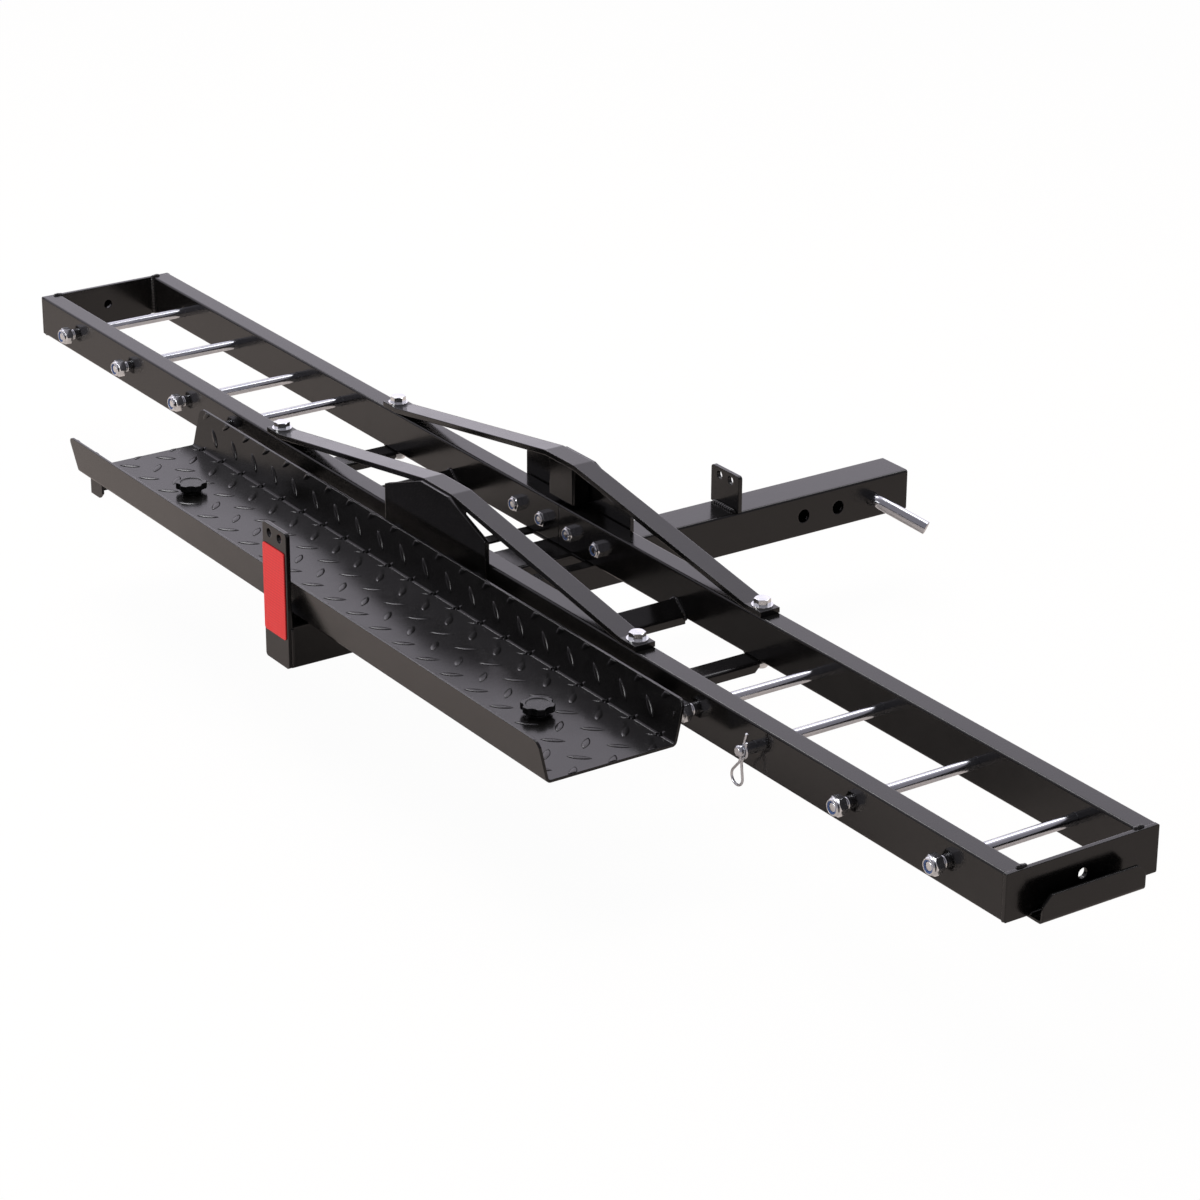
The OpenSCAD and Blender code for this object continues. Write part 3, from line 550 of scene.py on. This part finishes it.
def cut_beyond(mesh, place, outwards):
    """Cuts away what lies beyond a plane and closes the cut."""
    everything = mesh.verts[:] + mesh.edges[:] + mesh.faces[:]
    bmesh.ops.bisect_plane(mesh, geom=everything, plane_co=place, plane_no=outwards, clear_outer=True)
    bmesh.ops.holes_fill(mesh, edges=[edge for edge in mesh.edges if edge.is_boundary])


def measure_sheet():
    """Sizes of the ramp's folded sheet, in millimetres: flat is half its floor before a bend begins, bend
    the length of a bend and edge the way from the middle line to a rim, along the sheet."""
    low, high = in_mm(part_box("ramp"))
    lean = (high.y - low.y - SHEET_FOOT_W) / 2
    height = high.z - low.z
    rise = math.atan2(height, lean)
    tangent = (SHEET_BEND_R + SHEET_T) * math.tan(rise / 2)
    flat = SHEET_FOOT_W / 2 - tangent
    bend = (SHEET_BEND_R + SHEET_T / 2) * rise
    edge = flat + bend + math.hypot(lean, height) - tangent
    return SimpleNamespace(half_x=(high.x - low.x) / 2, middle_y=(high.y + low.y) / 2, low_z=low.z,
                           rise=rise, flat=flat, bend=bend, edge=edge)


def folded(sheet, flat_point):
    """Place, in metres, of a point of the flat sheet on the folded one."""
    x, v, height = flat_point
    past = abs(v) - sheet.flat
    turned = within(past / sheet.bend) * sheet.rise
    reach = SHEET_BEND_R - height
    run = max(0, past - sheet.bend)
    y = min(abs(v), sheet.flat) + reach * math.sin(turned) + run * math.cos(sheet.rise)
    z = SHEET_T + SHEET_BEND_R - reach * math.cos(turned) + run * math.sin(sheet.rise)
    return Vector((x, sheet.middle_y + math.copysign(y, v), sheet.low_z + z)) * MM


def flat_tread(sheet, on_wall):
    """Lugs of the floor or of both walls on the flat sheet, trimmed to its ends and rims."""
    mesh = bmesh.new()
    for half_step, degrees in ((0, 45), (0.5, -45)):
        for i in LUG_COLUMNS:
            for j in LUG_ROWS:
                x = (i + half_step + LUG_ORIGIN[0]) * LUG_PITCH
                v = (j + half_step + LUG_ORIGIN[1]) * LUG_PITCH
                if (abs(v) > sheet.flat + sheet.bend) == on_wall and abs(v) < sheet.edge + LUG_LEN / 3:
                    add_lug(mesh, x, v, math.radians(degrees))
    limit_x = sheet.half_x - (SHEET_NOSE_R if on_wall else SHEET_END_GAP)
    for side in (-1, 1):
        cut_beyond(mesh, (side * limit_x, 0, 0), (side, 0, 0))
        cut_beyond(mesh, (0, side * (sheet.edge - SHEET_RIM_GAP), 0), (0, side, 0))
    return mesh


def lay_tread(material):
    """Raised lugs over the ramp's floor and walls, lower at the bends and sunk under the washers."""
    sheet = measure_sheet()
    washer_low, washer_high = in_mm(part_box("knob_washer_right"))
    knob_x = (washer_low.x + washer_high.x) / 2
    washer_r = washer_high.x - knob_x
    kinds = (("tread_floor_lugs", False, 1), ("tread_wall_lugs", True, LUG_WALL_SHARE))
    for name, on_wall, tall in kinds:
        mesh = flat_tread(sheet, on_wall)
        for vert in mesh.verts:
            away = math.hypot(abs(vert.co.x) - knob_x, vert.co.y) - washer_r
            kept = within((away - WASHER_GAP) / WASHER_FADE)
            from_bend = abs(abs(vert.co.y) - sheet.flat - sheet.bend / 2) / sheet.bend
            near_bend = within(LUG_BEND_REACH - from_bend)
            share = tall * kept * (1 - LUG_BEND_LOSS * near_bend)
            vert.co.z = (vert.co.z + LUG_SINK) * share - LUG_SINK
            vert.co = folded(sheet, vert.co)
        piece = mesh_piece(name, mesh, "ramp", material)
        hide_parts("ramp_tread")


def make_camera():
    """Camera at the photograph's viewing angle, with its shift from the lens centre."""
    az, el = CAMERA_AZIMUTH, CAMERA_ELEVATION
    ahead = Vector((-math.sin(az) * math.cos(el), math.cos(az) * math.cos(el), -math.sin(el)))
    right = ahead.cross(Z_AXIS).normalized()
    up = right.cross(ahead)
    rolled_right = math.cos(CAMERA_ROLL) * right + math.sin(CAMERA_ROLL) * up
    rolled_up = math.cos(CAMERA_ROLL) * up - math.sin(CAMERA_ROLL) * right
    turn = Matrix((rolled_right, rolled_up, -ahead)).transposed().to_4x4()
    data = bpy.data.cameras.new("camera")
    data.sensor_width = SENSOR_MM
    data.lens = LENS_PX / IMAGE_SIDE * SENSOR_MM
    data.shift_x = 0.5 - CENTRE_PX[0] / IMAGE_SIDE
    data.shift_y = CENTRE_PX[1] / IMAGE_SIDE - 0.5
    data.clip_end = 60
    made = bpy.data.objects.new("camera", data)
    made.matrix_world = Matrix.Translation(CAMERA_AT) @ turn
    bpy.context.scene.collection.objects.link(made)
    bpy.context.scene.camera = made


def softbox(name, at, aim, width, height, watts, shows=True):
    """Rectangular area lamp at a point, facing another; one that doesn't show isn't mirrored in gloss."""
    data = bpy.data.lights.new(name, "AREA")
    data.shape = "RECTANGLE"
    data.size = width
    data.size_y = height
    data.energy = watts
    made = bpy.data.objects.new(name, data)
    made.location = at
    made.visible_glossy = shows
    made.rotation_euler = (Vector(aim) - Vector(at)).to_track_quat("-Z", "Y").to_euler()
    bpy.context.scene.collection.objects.link(made)


def by_ray(tree, ray, value, otherwise):
    """The value for one kind of ray, and for the other kinds a number or a node's output."""
    rays = tree.nodes.new("ShaderNodeLightPath")
    chosen = tree.nodes.new("ShaderNodeMapRange")
    tree.links.new(rays.outputs[ray], chosen.inputs["Value"])
    chosen.inputs["To Max"].default_value = value
    if isinstance(otherwise, (int, float)):
        chosen.inputs["To Min"].default_value = otherwise
    else:
        tree.links.new(otherwise, chosen.inputs["To Min"])
    return chosen.outputs["Result"]


def fill_world():
    """White behind the carrier, while gloss mirrors a studio that fades away from its bright side."""
    world = bpy.data.worlds.new("studio")
    bpy.context.scene.world = world
    world.use_nodes = True
    tree = world.node_tree
    background = tree.nodes["Background"]
    place = tree.nodes.new("ShaderNodeTexCoord")
    facing = add_node(tree, "ShaderNodeVectorMath", operation="DOT_PRODUCT")
    facing.inputs[1].default_value = BRIGHT_SIDE
    tree.links.new(place.outputs["Generated"], facing.inputs[0])
    fade = map_range(tree, facing.outputs["Value"], FADE_SPAN, FADE_LEVELS)
    split = tree.nodes.new("ShaderNodeSeparateXYZ")
    tree.links.new(place.outputs["Generated"], split.inputs["Vector"])
    horizon = map_range(tree, split.outputs["Z"], HORIZON_SPAN, HORIZON_LEVELS)
    level = add_node(tree, "ShaderNodeMath", operation="MULTIPLY")
    tree.links.new(fade, level.inputs[0])
    tree.links.new(horizon, level.inputs[1])
    unseen = by_ray(tree, "Is Diffuse Ray", FILL_LEVEL, level.outputs[0])
    tree.links.new(by_ray(tree, "Is Camera Ray", 1.0, unseen), background.inputs["Strength"])
    tint = blend_colours(tree, by_ray(tree, "Is Glossy Ray", 1.0, 0.0), (1, 1, 1), STUDIO_TINT)
    tree.links.new(tint, background.inputs["Color"])


def light_studio():
    """Two strips that draw the edges, and two large lamps that light the object."""
    fill_world()
    softbox("strip_over_rails", (-2.4, 0.03, 2.8), MIDDLE, 0.6, 2.2, 24)
    softbox("strip_over_bar", (-0.4, 1.9, 3.15), (0, -0.2, 0.03), 1.0, 1.8, 18)
    softbox("main", (-0.5, -1.0, 3.4), MIDDLE, 2.0, 2.0, 74, shows=False)
    softbox("front", (-0.5, -4.6, 1.1), MIDDLE, 1.6, 1.6, 50)


def lay_floor():
    """Floor that looks white, keeps a faint shadow and gives the paint a warm reflection."""
    around = ((-1, -1), (1, -1), (1, 1), (-1, 1))
    corners = [(x * FLOOR_HALF, y * FLOOR_HALF, FLOOR_Z) for x, y in around]
    mesh = bpy.data.meshes.new("floor")
    mesh.from_pydata(corners, [], [(0, 1, 2, 3)])
    floor = bpy.data.objects.new("floor", mesh)
    bpy.context.scene.collection.objects.link(floor)
    material, tree = new_material("floor_paper", Roughness=0.9, Specular_IOR_Level=0.1)
    vary_colour(tree, noise(tree, 3), (0.54, 0.465, 0.43), (0.56, 0.485, 0.45))
    glow = add_node(tree, "ShaderNodeEmission", Strength=FLOOR_GLOW)
    through = by_ray(tree, "Is Transmission Ray", FLOOR_MIRRORED_SHARE, 0.0)
    mirrored = by_ray(tree, "Is Glossy Ray", FLOOR_MIRRORED_SHARE, through)
    mixed = tree.nodes.new("ShaderNodeMixShader")
    tree.links.new(by_ray(tree, "Is Camera Ray", FLOOR_SEEN_SHARE, mirrored), mixed.inputs["Fac"])
    tree.links.new(tree.nodes["Principled BSDF"].outputs["BSDF"], mixed.inputs[1])
    tree.links.new(glow.outputs["Emission"], mixed.inputs[2])
    tree.links.new(mixed.outputs["Shader"], tree.nodes["Material Output"].inputs["Surface"])
    mesh.materials.append(material)


bpy.context.scene.view_settings.view_transform = "Standard"
finishes = paint_by_slot()
weld_carrier(finishes["powder_coat"])
weld_ramp(finishes["tread_coat"])
lay_tread(finishes["tread_coat"])
bolt_tips("rung_bolt_tips", "rung_nuts", "rung_nut_rings", finishes["zinc_plate"])
bolt_tips("splice_bolt_tips", "splice_nuts", "splice_nut_rings", finishes["zinc_plate"])
thread_ridges(finishes["zinc_plate"])
make_camera()
light_studio()
lay_floor()
